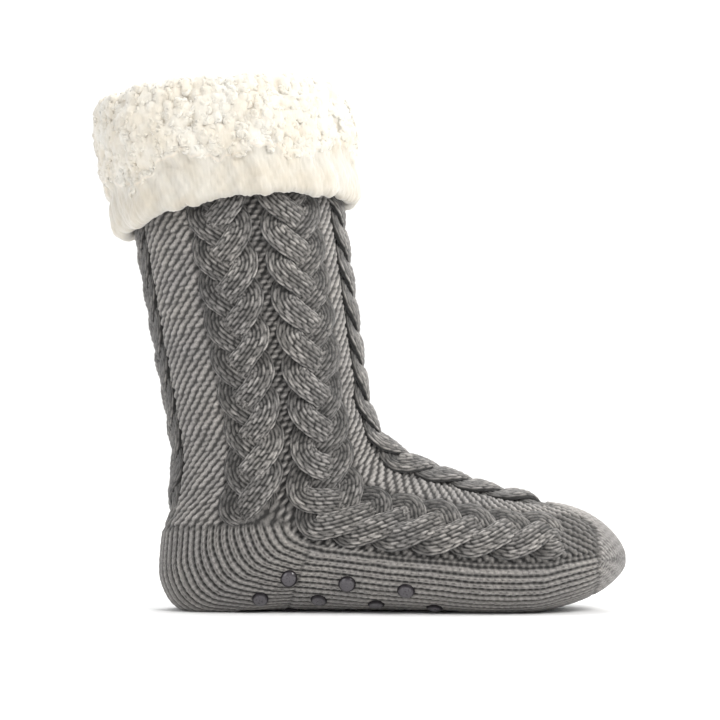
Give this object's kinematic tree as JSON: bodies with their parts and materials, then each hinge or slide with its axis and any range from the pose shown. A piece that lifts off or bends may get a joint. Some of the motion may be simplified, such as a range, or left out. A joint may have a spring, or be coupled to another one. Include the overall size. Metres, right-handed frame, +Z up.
{
  "type": "slipper sock",
  "caption": "Cable-knit slipper sock with raised plaits, a turned-out fleece cuff, a plain heel, sole and toe, and soft grip dots under the arch.",
  "frame": {"origin": "on the floor under the middle of the sock's bounding box", "axes": "+X towards the toe, +Y across the foot, +Z up the leg"},
  "size_m": [0.2726, 0.1179, 0.2681],
  "materials": {
    "grey_knit": "heather grey chunky acrylic knit, matt and slightly fuzzy",
    "cream_fleece": "cream curly pile fleece, deep and matt",
    "grip_silicone": "soft grey-violet silicone, smooth with a dull shine"
  },
  "bodies": {
    "root": {"knit_upper": "grey_knit", "fleece_cuff": "cream_fleece", "grip_dot_01": "grip_silicone", "grip_dot_02": "grip_silicone", "grip_dot_03": "grip_silicone", "grip_dot_04": "grip_silicone", "grip_dot_05": "grip_silicone", "grip_dot_06": "grip_silicone", "grip_dot_07": "grip_silicone", "grip_dot_08": "grip_silicone", "grip_dot_09": "grip_silicone", "grip_dot_10": "grip_silicone", "grip_dot_11": "grip_silicone", "grip_dot_12": "grip_silicone", "grip_dot_13": "grip_silicone", "grip_dot_14": "grip_silicone", "grip_dot_15": "grip_silicone", "grip_dot_16": "grip_silicone", "grip_dot_17": "grip_silicone", "grip_dot_18": "grip_silicone", "grip_dot_19": "grip_silicone", "grip_dot_20": "grip_silicone", "grip_dot_21": "grip_silicone", "grip_dot_22": "grip_silicone", "grip_dot_23": "grip_silicone", "grip_dot_24": "grip_silicone"}
  },
  "joints": []
}
